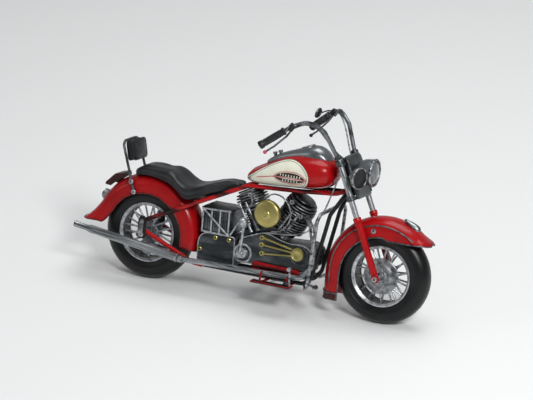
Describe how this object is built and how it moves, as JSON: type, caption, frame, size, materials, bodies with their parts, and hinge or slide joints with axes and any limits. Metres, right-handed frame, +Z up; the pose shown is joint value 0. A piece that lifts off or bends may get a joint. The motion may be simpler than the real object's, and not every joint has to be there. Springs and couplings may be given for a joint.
{
  "type": "display model motorcycle",
  "caption": "Tin cruiser motorcycle model: red tank and mudguards, V-twin engine, wire wheels, high handlebars, backrest; wheels roll, bars steer, side stand and kick-start arm fold.",
  "frame": {"origin": "middle of the overall box, on the surface that both tyres and the stand foot rest on", "axes": "+X forward, +Y to the rider's left, +Z up; the machine leans to +Y on its side stand"},
  "size_m": [0.3696, 0.1333, 0.196],
  "materials": {
    "red_enamel": "hand-brushed gloss enamel, darkened at the edges",
    "dark_steel": "near-black paint dry-brushed with silver",
    "black_paint": "satin black",
    "bright_steel": "streaky silver over dark",
    "cream_paint": "satin enamel with fine lining",
    "badge_paint": "plain oval with bars, no lettering",
    "seat_leather": "smooth satin black",
    "antique_brass": "rubbed antique brass",
    "tyre_rubber": "smooth, matt",
    "grip_rubber": "matt",
    "lamp_glass": "slightly clouded"
  },
  "bodies": {
    "chassis": {"frame_rails": "red_enamel", "dropout_plates": "black_paint", "frame_cradle": "dark_steel", "crash_bars": "bright_steel", "fuel_tank": "red_enamel", "tank_panels": "cream_paint", "tank_badges": "badge_paint", "dash_console": "dark_steel", "saddle": "seat_leather", "rear_mudguard": "red_enamel", "tail_plate": "red_enamel", "tail_lamp": "bright_steel", "backrest_pad": "seat_leather", "backrest_bar": "dark_steel", "battery_box": "dark_steel", "battery_cage": "bright_steel", "gearbox_cover": "dark_steel", "crankcase": "dark_steel", "rear_cylinder": "dark_steel", "front_cylinder": "dark_steel", "pushrods": "bright_steel", "engine_wires": "black_paint", "air_cleaner": "antique_brass", "cam_cover": "dark_steel", "points_cover": "antique_brass", "cam_rods": "antique_brass", "primary_cover": "dark_steel", "rivets": "antique_brass", "belly_plate": "red_enamel", "footboards": "red_enamel", "foot_levers": "bright_steel", "exhaust_pipe": "bright_steel", "muffler": "bright_steel", "rear_brake": "bright_steel", "rear_axle": "dark_steel"},
    "steering": {"front_axle": "bright_steel", "fork_yokes": "dark_steel", "fork_tubes": "bright_steel", "fork_legs": "red_enamel", "fork_cover": "dark_steel", "headlamp": "dark_steel", "headlamp_lens": "lamp_glass", "horn": "bright_steel", "front_mudguard": "red_enamel", "guard_bead": "bright_steel", "guard_lamp": "bright_steel", "handlebar": "bright_steel", "hand_grips": "grip_rubber", "hand_levers": "dark_steel"},
    "front_wheel": {"front_tyre": "tyre_rubber", "front_rim": "bright_steel", "front_spokes": "bright_steel", "front_hub": "dark_steel", "front_disc": "bright_steel"},
    "rear_wheel": {"rear_tyre": "tyre_rubber", "rear_rim": "bright_steel", "rear_spokes": "bright_steel", "rear_hub": "dark_steel"},
    "stand": {"side_stand": "dark_steel"},
    "kickstart": {"kick_crank": "dark_steel"}
  },
  "joints": [
    {"name": "front_wheel_spin", "type": "hinge", "parent": "steering", "child": "front_wheel", "pos_m": [0.1376, -0.02173, 0.04621], "axis": [0, 0.9781, -0.2079], "continuous": true},
    {"name": "rear_wheel_spin", "type": "hinge", "parent": "chassis", "child": "rear_wheel", "pos_m": [-0.1124, -0.02173, 0.04621], "axis": [0, 0.9781, -0.2079], "continuous": true},
    {"name": "steering_turn", "type": "hinge", "parent": "chassis", "child": "steering", "pos_m": [0.09166, -0.00381, 0.1305], "axis": [-0.4067, 0.1899, 0.8936], "range_deg": [-25, 25]},
    {"name": "stand_fold", "type": "hinge", "parent": "chassis", "child": "stand", "pos_m": [-0.0004, -0.00674, 0.02054], "axis": [0.1907, 0.629, 0.7537], "range_deg": [0, 88]},
    {"name": "kickstart_swing", "type": "hinge", "parent": "chassis", "child": "kickstart", "pos_m": [-0.0034, -0.04658, 0.05098], "axis": [0, 0.9781, -0.2079], "range_deg": [-80, 8]}
  ]
}
